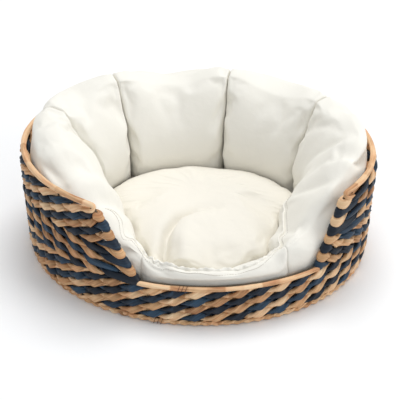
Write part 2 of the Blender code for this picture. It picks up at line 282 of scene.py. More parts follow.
def fibre_material(name, colours, roughness, gloss):
    """Dried leaf: streaks along the strand between a dark, a middle and a light colour."""
    look = bpy.data.materials.new(name)
    look.use_nodes = True
    nodes, links = look.node_tree.nodes, look.node_tree.links
    shader = nodes["Principled BSDF"]
    shader.inputs["Specular IOR Level"].default_value = gloss
    uv = nodes.new("ShaderNodeUVMap")
    uv.uv_map = "fibre"

    def streaks(along, across, detail):
        """Noise stretched along the strand."""
        scale = nodes.new("ShaderNodeVectorMath")
        scale.operation = "MULTIPLY"
        scale.inputs[1].default_value = (along, across, 1.0)
        noise = nodes.new("ShaderNodeTexNoise")
        noise.inputs["Scale"].default_value = 1.0
        noise.inputs["Detail"].default_value = detail
        links.new(uv.outputs["UV"], scale.inputs[0])
        links.new(scale.outputs["Vector"], noise.inputs["Vector"])
        return noise.outputs["Fac"]

    fine, broad, patches = streaks(*FINE_STREAKS), streaks(*BROAD_STREAKS), streaks(*PATCHES)
    tone = nodes.new("ShaderNodeAttribute")
    tone.attribute_name = "tone"
    total = None
    for source, weight in zip((fine, broad, patches, tone.outputs["Fac"]), TONE_WEIGHTS):
        sum_node = nodes.new("ShaderNodeMath")
        sum_node.operation = "MULTIPLY_ADD"
        sum_node.inputs[1].default_value = weight
        links.new(source, sum_node.inputs[0])
        if total is None:
            sum_node.inputs[2].default_value = TONE_OFFSET
        else:
            links.new(total, sum_node.inputs[2])
        total = sum_node.outputs["Value"]
    ramp = nodes.new("ShaderNodeValToRGB")
    stops = ramp.color_ramp.elements
    stops[0].position, stops[0].color = TONE_STOPS[0], (*colours[0], 1.0)
    stops[1].position, stops[1].color = TONE_STOPS[2], (*colours[2], 1.0)
    middle = stops.new(TONE_STOPS[1])
    middle.color = (*colours[1], 1.0)
    links.new(total, ramp.inputs["Fac"])
    # Some leaves and parts of leaves are pinker than others.
    blush = nodes.new("ShaderNodeMix")
    blush.data_type = "RGBA"
    blush.blend_type = "MULTIPLY"
    blush.inputs["B"].default_value = BLUSH
    pink = nodes.new("ShaderNodeMapRange")
    pink.inputs["From Min"].default_value, pink.inputs["From Max"].default_value = BLUSH_RANGE
    links.new(streaks(*BLUSH_PATCHES), pink.inputs["Value"])
    links.new(pink.outputs["Result"], blush.inputs["Factor"])
    links.new(ramp.outputs["Color"], blush.inputs["A"])
    links.new(blush.outputs["Result"], shader.inputs["Base Color"])
    rough = nodes.new("ShaderNodeMapRange")
    rough.inputs["To Min"].default_value = roughness + ROUGHNESS_SPREAD[0]
    rough.inputs["To Max"].default_value = roughness + ROUGHNESS_SPREAD[1]
    links.new(broad, rough.inputs["Value"])
    links.new(rough.outputs["Result"], shader.inputs["Roughness"])
    bump = nodes.new("ShaderNodeBump")
    bump.inputs["Strength"].default_value = 0.55
    bump.inputs["Distance"].default_value = 0.0006
    links.new(fine, bump.inputs["Height"])
    links.new(bump.outputs["Normal"], shader.inputs["Normal"])
    return look


navy_leaf = fibre_material("navy_leaf", NAVY, 0.44, 0.32)
natural_leaf = fibre_material("natural_leaf", NATURAL, 0.52, 0.35)


def between(values, place):
    """Values given at whole places, eased from each to the next."""
    low = np.floor(place).astype(int)
    share = 0.5 - 0.5 * np.cos(np.pi * (place - low))
    size = len(values)
    return values[low % size] * (1.0 - share) + values[(low + 1) % size] * share


def strand(row, colour):
    """One strand of a row: an offset from the wall's sheet that turns half round per span.

    Offset = (r cos p, z sin p) with p growing by pi from upright to upright, so that the
    strand is outside at every second upright; its flat section turns with it.  At an edge
    the strand that lies outside goes on round the edge wire and back inside.
    """
    parity = (row + (colour == "navy")) % 2
    lean = 1.0 if (row // ROWS_PER_TWIST) % 2 == 0 else -1.0
    middle = ROW_BOTTOM + (row + 0.5) * ROW_PITCH
    dice = np.random.default_rng(100 + 2 * row + parity)
    closed = row < CLOSED_ROWS
    if closed:
        run = np.arange(UPRIGHTS * LEAF_STEPS) / LEAF_STEPS
        step, place, slope = run, run, np.zeros(run.shape)
        wrap, tail, taper = np.zeros(run.shape), np.zeros(run.shape), np.ones(run.shape)
    else:
        right, left = cut_places(middle)
        # The edges count as odd uprights, so the strand outside there is the row's outer one.
        first = 2 * math.ceil((right + SHORTEST_SPAN) / 2.0) - 1
        last = 2 * math.floor((left - SHORTEST_SPAN) / 2.0) + 1
        spare = -TURN_RUN if parity else INNER_STOP
        run = np.linspace(first + spare, last - spare,
                          int((last - first - 2.0 * spare) * LEAF_STEPS))
        step = np.clip(run, first, last)
        # Long last leaves are navy: a natural outer strand crosses over close to the edge.
        spans = (first + 1 - right, left - last + 1)
        bend = LAST_LEAF if row % 2 else 1.0 - LAST_LEAF
        long_ends = [LAST_LEAF * min(1.0, span) for span in spans]
        knots = long_ends if row % 2 else [span - end for span, end in zip(spans, long_ends)]
        place = np.interp(step, [first, first + bend, first + 1, last - 1, last - bend, last],
                          [right, right + knots[0], first + 1, last - 1, left - knots[1], left])
        above = cut_places(middle + 0.5 * ROW_PITCH)
        below = cut_places(middle - 0.5 * ROW_PITCH)
        slopes = [(up - down) * SPACING / ROW_PITCH for up, down in zip(above, below)]
        slope = np.interp(step, [first, first + 0.7, last - 0.7, last], [slopes[0], 0.0, 0.0, slopes[1]])
        beyond = np.maximum(run - last, 0.0) - np.maximum(first - run, 0.0)
        wrap = np.clip(beyond, -1.0, 1.0)
        tail = np.abs(beyond - wrap) / (TURN_RUN - 1.0)
        steps_in = np.minimum(np.arange(run.size), np.arange(run.size)[::-1])
        taper = np.clip((steps_in + 1.0) / 4.0, 0.25, 1.0)
    phase = np.pi * (step + parity)
    leaves = UPRIGHTS + 2
    grow = dice.uniform(*LEAF_GROW, leaves)
    push = dice.uniform(*LEAF_PUSH, leaves)
    shift = dice.uniform(*LEAF_SHIFT, leaves)
    shade = dice.uniform(0.0, 1.0, leaves)
    if closed:
        grow, push, shift, shade = (drawn[:UPRIGHTS] for drawn in (grow, push, shift, shade))
    outer, up = np.cos(phase), np.sin(phase) * lean
    swing = np.pi * np.abs(wrap)
    side = np.sign(wrap)
    radial = (TWIST_REACH[0] + between(push, step)) * outer * np.cos(swing)
    sideways = side * (TURN_REACH * np.sin(swing) - TAIL * tail)
    rise = TWIST_REACH[1] * up + between(shift, step) * (wrap == 0.0)
    knuckle = 1.0 + (KNUCKLE[colour] - 1.0) * np.sin(0.5 * np.pi * np.minimum(2.0 * np.abs(wrap), 1.0))
    high = LEAF_HALF_HIGH * between(grow, step) * (1.0 + (LEAF_WAIST - 1.0) * np.abs(up) ** 1.3) * knuckle
    thick = LEAF_HALF_THICK * (1.0 + 0.14 * np.abs(outer))
    minor = np.stack([outer * np.cos(swing), side * np.sin(swing), up], -1)
    major = np.stack([-up, slope * outer, outer], -1)
    around = 2.0 * np.pi * np.arange(LEAF_SIDES) / LEAF_SIDES
    across, along = squarer(np.cos(around), LEAF_POWER), squarer(np.sin(around), LEAF_POWER)
    relief = ridged(dice, run.size, LEAF_SIDES, RIDGE_STEPS)
    if closed:
        fade = np.clip(np.arange(run.size) / 12.0, 0.0, 1.0)[:, None]
        relief = relief * fade + relief[-1] * (1.0 - fade)
    relief = 1.0 + relief * RIDGE / LEAF_HALF_THICK
    local = (
        minor[:, None, :] * (across * (thick * taper)[:, None] * relief)[..., None]
        + major[:, None, :] * (along * (high * taper)[:, None])[..., None]
        + np.stack([radial, sideways, rise], -1)[:, None, :]
    )
    places = place[:, None] + local[..., 1] / SPACING
    rings = wall(turn_at(places), middle + local[..., 2], local[..., 0])
    tone = shade[np.round(step).astype(int) % len(shade)]
    name = f"twined_row_{row + 1:02d}_{colour}"
    piece = tube(name, rings, closed, tone)
    piece.data.materials.append(navy_leaf if colour == "navy" else natural_leaf)
    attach(piece, "basket")
    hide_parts(f"row_{row + 1:02d}_{colour}_strand")


for row_number in range(ROWS):
    for strand_colour in ("navy", "natural"):
        strand(row_number, strand_colour)

# ---------------------------------------------------------------------------
# Wire frame: lacquered steel wire, welded at the crossings.  The weave, the bindings and
# the mat hide it, so it keeps the shape that it has in the frame.
LACQUER = (0.10, 0.075, 0.05, 1.0)
LACQUER_GRAIN = 600.0
wire_look = bpy.data.materials.new("lacquered_wire")
wire_look.use_nodes = True
nodes, links = wire_look.node_tree.nodes, wire_look.node_tree.links
wire_shader = nodes["Principled BSDF"]
wire_shader.inputs["Base Color"].default_value = LACQUER
wire_shader.inputs["Roughness"].default_value = 0.4
wire_shader.inputs["Metallic"].default_value = 0.6
place, noise, bump = (nodes.new(f"ShaderNode{kind}") for kind in ("TexCoord", "TexNoise", "Bump"))
noise.inputs["Scale"].default_value = LACQUER_GRAIN
bump.inputs["Distance"].default_value = 0.0002
links.new(place.outputs["Object"], noise.inputs["Vector"])
links.new(noise.outputs["Fac"], bump.inputs["Height"])
links.new(bump.outputs["Normal"], wire_shader.inputs["Normal"])
wire_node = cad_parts["wire_frame"]
wire_node.data.materials.clear()
wire_node.data.materials.append(wire_look)

# ---------------------------------------------------------------------------
# Rim bindings: natural leaf laid lengthwise over the rim wires and lashed down, one cord
# along the high rim with its ends tucked into the wall, one along the low front.
CORD_SIDES = 28
CORD_STEP = 0.0030
CORD_RIDGES = 5
CORD_TWIST = 9.0
BINDING = ((0.46, 0.235, 0.110), (0.78, 0.510, 0.285), (0.92, 0.700, 0.455))
binding_leaf = fibre_material("binding_leaf", BINDING, 0.50, 0.35)


def cord(name, path, radii, seed):
    """Cord of lengthwise strips: radius (1 + ridges turning slowly + random swells)."""
    dice = np.random.default_rng(seed)
    along = length_along(path)
    count = int(along[-1] / CORD_STEP) + 2
    at = np.linspace(0.0, along[-1], count)
    line = np.stack([np.interp(at, along, path[:, axis]) for axis in range(3)], -1)
    wide, high = (np.interp(at, along, radii[:, axis]) for axis in range(2))
    lead = unit(np.gradient(line, axis=0))
    flat = unit(np.cross(lead, (0.0, 0.0, 1.0)))
    rise = np.cross(flat, lead)
    around = 2.0 * np.pi * np.arange(CORD_SIDES) / CORD_SIDES
    twist = CORD_TWIST * at[:, None] * 2.0 * np.pi / CORD_RIDGES
    strips = np.abs(np.sin(0.5 * CORD_RIDGES * (around + twist))) ** 0.6
    swell = np.interp(at, np.linspace(0.0, at[-1], max(4, count // 4)),
                      dice.uniform(0.93, 1.07, max(4, count // 4)))[:, None]
    size = (0.86 + 0.14 * strips) * swell * (1.0 + 0.03 * ridged(dice, count, CORD_SIDES, 3))
    rings = line[:, None] + size[..., None] * (
        flat[:, None] * (wide[:, None] * np.cos(around))[..., None]
        + rise[:, None] * (high[:, None] * np.sin(around))[..., None]
    )
    piece = tube(name, rings, False, dice.uniform(0.0, 1.0, count // 9 + 1).repeat(9)[:count])
    piece.data.materials.append(binding_leaf)
    return piece


HIGH_CORD = (0.0044, 0.0043)
HIGH_CORD_TURNS = (CUT_HIGH[1] - 359.7, CUT_HIGH[0] - 0.3)
HIGH_CORD_Z = RIM_WIRE_Z + 0.0010
HIGH_CORD_OUT = 0.0004
HIGH_CORD_POINTS = 240
FRONT_CORD = (0.0040, 0.0036)
FRONT_CORD_TURNS = (255.2, 316.8)
FRONT_CORD_Z = LOW_WIRE_Z - 0.0016
FRONT_CORD_OUT = 0.0036
FRONT_CORD_POINTS = 120
FRONT_CORD_SIZES = ((0, 4, 119), (0.8, 1.0, 0.94))
high_turns = np.linspace(*HIGH_CORD_TURNS, HIGH_CORD_POINTS)
high_line = wall(high_turns, HIGH_CORD_Z, HIGH_CORD_OUT)
# Hook at each end: places beyond the edge in metres, heights and offsets from the wall.
hook_along = np.array((0.0035, 0.0050, 0.0030, -0.0050, -0.0150))
hook_drop = np.array((-0.0006, -0.0035, -0.0066, -0.0090, -0.0105))
hook_out = np.array((0.0012, 0.0030, 0.0046, 0.0050, 0.0046))
hook_size = np.array((0.92, 0.84, 0.74, 0.66, 0.30))[:, None]
hooks = []
for edge, sign in ((high_turns[0], -1.0), (high_turns[-1], 1.0)):
    hook_place = place_at(edge) + sign * hook_along / SPACING
    hooks.append(wall(turn_at(hook_place), HIGH_CORD_Z + hook_drop, hook_out))
high_path = np.concatenate([hooks[0][::-1], high_line, hooks[1]])
high_size = np.concatenate([hook_size[::-1], np.ones((HIGH_CORD_POINTS, 1)), hook_size])
high_cord = cord("high_rim_cord", high_path, high_size * HIGH_CORD, 61)
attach(high_cord, "basket")
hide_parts("high_rim_binding")

front_turns = np.linspace(*FRONT_CORD_TURNS, FRONT_CORD_POINTS)
front_line = wall(front_turns, FRONT_CORD_Z, FRONT_CORD_OUT)
front_size = np.interp(np.arange(FRONT_CORD_POINTS), *FRONT_CORD_SIZES)[:, None]
front_cord = cord("front_rim_cord", front_line, front_size * FRONT_CORD, 62)
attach(front_cord, "basket")
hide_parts("front_rim_binding")

# Lashing: thin dark fibre wound over the front cord and over the foot plait, three turns each.
LASHING = 0.00042
LASH_TURNS = 3
LASH_PITCH = 1.15
LASH_SLANT = 0.9
LASH_ARC = (-0.4125 * np.pi, 0.5775 * np.pi)
LASH_STEPS = 22
LASH_SIDES = 8
DARK_LEAF = ((0.05, 0.015, 0.008), (0.16, 0.055, 0.03), (0.30, 0.13, 0.07))
# Each place: first angle, height, offset from the wall, and the loop's half width and height.
LASH_PLACES = (
    (268.6, FRONT_CORD_Z, FRONT_CORD_OUT, 0.0044, 0.0040),
    (261.0, 0.0052, 0.0030, 0.0046, 0.0050),
)
lash_look = fibre_material("lashing", DARK_LEAF, 0.6, 0.3)
lashes = []
for start, height, offset, wide, high in LASH_PLACES:
    for number in range(LASH_TURNS):
        swing = np.linspace(*LASH_ARC, LASH_STEPS)
        degrees = start + LASH_PITCH * number + np.linspace(0.0, LASH_SLANT, LASH_STEPS)
        centre = wall(degrees, height + high * np.sin(swing), offset + wide * np.cos(swing))
        around = 2.0 * np.pi * np.arange(LASH_SIDES) / LASH_SIDES
        lead = unit(np.gradient(centre, axis=0))
        side = unit(np.cross(lead, (1.0, 0.0, 0.0)))
        rise = np.cross(lead, side)
        rings = centre[:, None] + LASHING * (
            side[:, None] * np.cos(around)[:, None] + rise[:, None] * np.sin(around)[:, None])
        lashes.append(tube(f"lashing_{len(lashes)}", rings, False, np.full(LASH_STEPS, 0.4)))
with bpy.context.temp_override(active_object=lashes[0], selected_editable_objects=lashes):
    bpy.ops.object.join()
lashing = lashes[0]
lashing.name = "lashing"
lashing.data.materials.append(lash_look)
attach(lashing, "basket")

# ---------------------------------------------------------------------------
# Foot border: three natural leaves plaited along the bottom edge of the wall.  The plait
# is tight at the back and sides, and pulled nearly straight across the front.
PLAIT_STRANDS = 3
PLAIT_PERIODS = 32
PLAIT_STEPS = 22
PLAIT_SIDES = 14
PLAIT_MIDDLE = 0.0052
PLAIT_HALF = (0.0017, 0.0029)
PLAIT_SWING = (0.0014, 0.0024)
PLAIT_OFFSET = 0.0028
PLAIT_TILT = 0.88
# The straighter stretch: how much straighter, the angle of its middle and its half length.
CALM, CALM_MIDDLE, CALM_REACH = 0.6, 280.0, 32.0
for number in range(PLAIT_STRANDS):
    dice = np.random.default_rng(70 + number)
    run = np.arange(PLAIT_PERIODS * PLAIT_STEPS) / PLAIT_STEPS
    phase = 2.0 * np.pi * (run + number / PLAIT_STRANDS)
    turns = turn_at(run * UPRIGHTS / PLAIT_PERIODS)
    from_calm = (turns - CALM_MIDDLE + 180.0) % 360.0 - 180.0
    calm = 1.0 - CALM * np.exp(-(from_calm / CALM_REACH) ** 4)
    around = 2.0 * np.pi * np.arange(PLAIT_SIDES) / PLAIT_SIDES
    width = between(dice.uniform(0.86, 1.12, 3 * PLAIT_PERIODS), 3.0 * run)[:, None]
    out = PLAIT_HALF[0] * np.cos(around) * (1.0 + 0.10 * ridged(dice, run.size, PLAIT_SIDES, 6))
    high = PLAIT_HALF[1] * np.sin(around) * width
    heights = PLAIT_MIDDLE + (PLAIT_SWING[1] * calm * np.sin(phase))[:, None] + high
    offsets = PLAIT_OFFSET + (PLAIT_SWING[0] * np.sin(2.0 * phase))[:, None] + out
    skew = high * PLAIT_TILT * np.cos(phase)[:, None] / SPACING
    places = run[:, None] * UPRIGHTS / PLAIT_PERIODS + skew
    rings = wall(turn_at(places), np.maximum(heights, 0.0002), offsets)
    tone = dice.uniform(0.0, 1.0, 3 * PLAIT_PERIODS)[(3.0 * run + 0.5).astype(int) % (3 * PLAIT_PERIODS)]
    plait = tube(f"foot_plait_{number + 1}", rings, True, tone)
    plait.data.materials.append(natural_leaf)
    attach(plait, "basket")
    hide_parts("foot_border")

# ---------------------------------------------------------------------------
# Base mat: flat strips of natural leaf in a plain weave over the base wires.
MAT_ALONG = 30
MAT_ACROSS = 36
MAT_INSET = 0.0092
MAT_MIDDLE = 0.0026
MAT_WAVE = 0.0009
MAT_HALF_THICK = 0.0006
MAT_FILL = 0.46
MAT_STEPS = 6
STRIP_PROFILE = np.array(((-1, 0), (-0.8, -1), (0.8, -1), (1, 0), (0.8, 1), (-0.8, 1)))
mat_half = half_axes(0.0) - MAT_INSET
mat_pitch = 2.0 * mat_half / (MAT_ACROSS, MAT_ALONG)
for axis, (name, strips) in enumerate((("mat_weft", MAT_ALONG), ("mat_warp", MAT_ACROSS))):
    dice = np.random.default_rng(90 + axis)
    crossing = 1 - axis
    tubes = []
    for number in range(strips):
        level = (number + 0.5) / strips * 2.0 - 1.0
        reach = mat_half[axis] * math.sqrt(1.0 - min(1.0, (abs(level) + 0.6 / strips) ** 2))
        if reach < mat_pitch[axis]:
            continue
        count = max(9, int(reach * 2.0 / mat_pitch[axis] * MAT_STEPS))
        at = np.linspace(-reach, reach, count)
        wave = np.sin(np.pi * (at / mat_pitch[axis] + 0.5 + number)) * (1.0 if axis == 0 else -1.0)
        half_wide = MAT_FILL * mat_pitch[crossing] * dice.uniform(0.92, 1.04)
        ring = np.zeros((count, len(STRIP_PROFILE), 3))
        ring[..., axis] = at[:, None]
        ring[..., crossing] = level * mat_half[crossing] + STRIP_PROFILE[:, 0] * half_wide
        ring[..., 2] = MAT_MIDDLE + (MAT_WAVE * wave)[:, None] + STRIP_PROFILE[:, 1] * MAT_HALF_THICK
        tubes.append(tube(f"{name}_{number}", ring, False, np.full(count, dice.uniform())))
    with bpy.context.temp_override(active_object=tubes[0], selected_editable_objects=tubes):
        bpy.ops.object.join()
    mat = tubes[0]
    mat.name = name
    mat.data.name = name
    mat.data.materials.append(natural_leaf)
    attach(mat, "basket")
    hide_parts("base_mat")

# ---------------------------------------------------------------------------
# Bolster: a ring of six stuffed cotton chambers, sewn to each other end to end.  Each is
# a closed cover that the filling blows up between its seams, with gathers at the seams.
BOLSTER_HALF = np.array((0.2555, 0.1900))
FRONT_BULGE = 0.0130
FRONT_BULGE_EDGES = (246.0, 262.0, 308.0, 322.0)
CUSHION_BOTTOM = 0.0096
CHAMBERS = (
    ("right_back", 38.6, 81.6),
    ("back", 81.6, 128.6),
    ("left_back", 128.6, 169.8),
    ("left_front", 169.8, 255.6),
    ("front", 255.6, 306.3),
    ("right_front", 306.3, 398.6),
)
# Angle in degrees, thickness, crest height, overhang above the rim, and the top's lean.
STATIONS = np.array((
    (0.0, 0.089, 0.205, 0.008, 0.44), (20.0, 0.081, 0.206, 0.012, 0.40),
    (38.6, 0.081, 0.207, 0.014, 0.38), (60.0, 0.080, 0.197, 0.022, 0.38),
    (81.6, 0.088, 0.211, 0.012, 0.38), (105.0, 0.092, 0.199, 0.014, 0.40),
    (128.6, 0.096, 0.212, 0.014, 0.40), (150.0, 0.100, 0.206, 0.016, 0.38),
    (169.8, 0.102, 0.210, 0.014, 0.38), (190.0, 0.104, 0.208, 0.006, 0.38),
    (205.0, 0.104, 0.202, 0.004, 0.38), (225.0, 0.102, 0.178, 0.003, 0.36),
    (238.0, 0.083, 0.140, 0.0, 0.36), (250.0, 0.052, 0.106, 0.0, 0.36),
    (258.0, 0.037, 0.092, 0.0, 0.46), (285.0, 0.035, 0.090, 0.0, 0.52),
    (300.0, 0.050, 0.095, 0.0, 0.60), (312.0, 0.082, 0.116, 0.0, 0.72),
    (330.0, 0.106, 0.170, 0.002, 0.68), (345.0, 0.102, 0.194, 0.005, 0.56),
    (360.0, 0.089, 0.205, 0.008, 0.44),
))
SECTION_SIDES = 76
SECTION_POWER = 2.35
CLOTH_STEP = 0.0070
PLAN_POINTS = 400
SEAM_GAP = 0.01
# A seam draws its chamber in: over what length, by what share, and with how round a curve.
PINCH_REACH = 0.036
PINCH_WIDE = 0.28
PINCH_POWER = 2.8
PINCH_KEPT = 0.30
LOW_CREST = (0.16, 0.10)
LOW_SEAM_PINCH = 0.005
BUNCHING = 0.055
SECTION_LEAN = (-0.2, 1.0)
OVERHANG_HEIGHT = (0.176, 0.198)
COTTON = (0.870, 0.846, 0.776, 1.0)
# Noise in the cloth: cycles per metre, octaves, and the bump's strength and height.
RUMPLES = (46.0, 3.0, 0.35, 0.0030)
SLUBS = (900.0, 2.0, 0.25, 0.0003)
FLUFF = (0.93, 0.93, 0.92, 1.0)
FILLING_INSET = 0.0050
# Pressure in the cover, how much its cloth shrinks, and how far a point may move.
COVER_BLOW = (3.2, -0.05, 0.011)
# Gathers at a seam: their number, and the ranges of width, length and depth.
COVER_FOLDS = (26, (0.0022, 0.0050), (0.010, 0.030), (0.0008, 0.0026))
COVER_CLOTH = {
    "quality": 6, "mass": 0.25, "tension_stiffness": 12.0, "compression_stiffness": 12.0,
    "shear_stiffness": 4.0, "bending_stiffness": 0.25, "air_damping": 2.0, "use_pressure": True,
}
CLOTH_FRAMES = 20
# Room that the cushion may take outside the wall's middle, by height: round the high rim,
# and over the low front.
ROOM_HEIGHTS, ROOM = (0.0, 0.1800, 0.1900, 0.2100), (-0.0088, -0.0072, 0.0060, 0.0090)
FRONT_ROOM_HEIGHTS, FRONT_ROOM = (0.0, 0.072, 0.082), (-0.0088, -0.0060, 0.0020)


def smooth(share):
    """Ease from 0 to 1 with level ends."""
    share = np.clip(share, 0.0, 1.0)
    return share * share * (3.0 - 2.0 * share)


def station(degrees, column):
    """A column of the stations, eased between them."""
    turn = degrees % 360.0
    low = np.clip(np.searchsorted(STATIONS[:, 0], turn, side="right") - 1, 0, len(STATIONS) - 2)
    share = smooth((turn - STATIONS[low, 0]) / (STATIONS[low + 1, 0] - STATIONS[low, 0]))
    return STATIONS[low, column] * (1.0 - share) + STATIONS[low + 1, column] * share


def bolster_plan(degrees, inwards):
    """Plan point a distance inside the bolster's outer face, on the face's normal."""
    turn = degrees % 360.0
    start, full, fall, end = FRONT_BULGE_EDGES
    bulge = smooth((turn - start) / (full - start)) - smooth((turn - fall) / (end - fall))
    depth = BOLSTER_HALF[1] + FRONT_BULGE * bulge
    half = np.stack([np.full(turn.shape, BOLSTER_HALF[0]), depth], -1)
    cos, sin = np.cos(np.radians(turn)), np.sin(np.radians(turn))
    normal = unit(np.stack([cos / half[..., 0], sin / half[..., 1]], -1))
    out = normal * np.asarray(inwards)[..., None]
    return np.stack([half[..., 0] * cos, half[..., 1] * sin], -1) - out


def cotton_material(name, colour):
    """Plain cotton: a dry, faintly fuzzy surface with slubs on broad soft rumples."""
    look = bpy.data.materials.new(name)
    look.use_nodes = True
    nodes, links = look.node_tree.nodes, look.node_tree.links
    shader = nodes["Principled BSDF"]
    shader.inputs["Base Color"].default_value = colour
    shader.inputs["Roughness"].default_value = 0.88
    shader.inputs["Specular IOR Level"].default_value = 0.25
    shader.inputs["Sheen Weight"].default_value = 0.12
    place = nodes.new("ShaderNodeTexCoord")
    normal = None
    for scale, detail, strength, distance in (RUMPLES, SLUBS):
        noise, bump = nodes.new("ShaderNodeTexNoise"), nodes.new("ShaderNodeBump")
        noise.inputs["Scale"].default_value = scale
        noise.inputs["Detail"].default_value = detail
        bump.inputs["Strength"].default_value = strength
        bump.inputs["Distance"].default_value = distance
        links.new(place.outputs["Object"], noise.inputs["Vector"])
        links.new(noise.outputs["Fac"], bump.inputs["Height"])
        if normal is not None:
            links.new(normal, bump.inputs["Normal"])
        normal = bump.outputs["Normal"]
    links.new(normal, shader.inputs["Normal"])
    return look


def points_of(mesh):
    """The mesh's points as an array."""
    points = np.empty(len(mesh.vertices) * 3)
    mesh.vertices.foreach_get("co", points)
    return points.reshape(-1, 3)


def normals_of(mesh):
    """The mesh's point normals as an array."""
    normals = np.empty(len(mesh.vertices) * 3)
    mesh.vertex_normals.foreach_get("vector", normals)
    return normals.reshape(-1, 3)


def put_points(mesh, points):
    """Move the mesh's points."""
    mesh.vertices.foreach_set("co", points.ravel())
    mesh.update()


def blow_up(piece, pins, pressure, shrink, cap):
    """Cloth simulation: filling pressure inside the cover, the pinned seams held still."""
    start = points_of(piece.data)
    group = piece.vertex_groups.new(name="sewn")
    group.add(pins, 1.0, "ADD")
    cloth = piece.modifiers.new("cloth", "CLOTH")
    setting = cloth.settings
    for key, value in COVER_CLOTH.items():
        setattr(setting, key, value)
    setting.uniform_pressure_force = pressure
    setting.shrink_min = shrink
    setting.vertex_group_mass = "sewn"
    setting.effector_weights.gravity = 0.0
    cloth.collision_settings.use_collision = False
    cloth.point_cache.frame_start = 1
    cloth.point_cache.frame_end = CLOTH_FRAMES
    for number in range(1, CLOTH_FRAMES + 1):
        bpy.context.scene.frame_set(number)
    settled = piece.evaluated_get(bpy.context.evaluated_depsgraph_get()).to_mesh()
    move = points_of(settled) - start
    length = np.linalg.norm(move, axis=1, keepdims=True)
    move *= cap * np.tanh(length / cap) / np.maximum(length, 1e-9)
    piece.modifiers.remove(cloth)
    piece.vertex_groups.remove(group)
    bpy.context.scene.frame_set(1)
    put_points(piece.data, start + move)


def soften(piece):
    """One level of subdivision."""
    smoother = piece.modifiers.new("soften", "SUBSURF")
    smoother.levels = 1
    smoother.render_levels = 1


def kept_inside(points):
    """Points pulled in from the wall and the rim cord, free to bulge out above the rim."""
    room = np.interp(points[:, 2], ROOM_HEIGHTS, ROOM)
    front = (points[:, 1] < -0.10) & (np.abs(points[:, 0] - 0.04) < 0.115)
    room = np.where(front, np.interp(points[:, 2], FRONT_ROOM_HEIGHTS, FRONT_ROOM), room)
    half = half_axes(points[:, 2]) + room[:, None]
    reach = np.linalg.norm(points[:, :2] / half, axis=1)
    points[:, :2] /= np.maximum(reach, 1.0)[:, None]
    return points


def folds(dice, along, away, count, width, length, depth):
    """Sum of valleys: depth exp(-(across / width)^2) fading over length from the seam."""
    away = np.maximum(away, 0.0)
    place = dice.uniform(along.min(), along.max(), count)
    lean = dice.uniform(-0.5, 0.5, count)
    wide = dice.uniform(*width, count)
    long = dice.uniform(*length, count)
    deep = dice.uniform(*depth, count)
    across = along[..., None] - place - lean * away[..., None]
    fading = np.exp(-((away[..., None] / long) ** 1.5))
    return (deep * np.exp(-((across / wide) ** 2)) * fading).sum(-1)


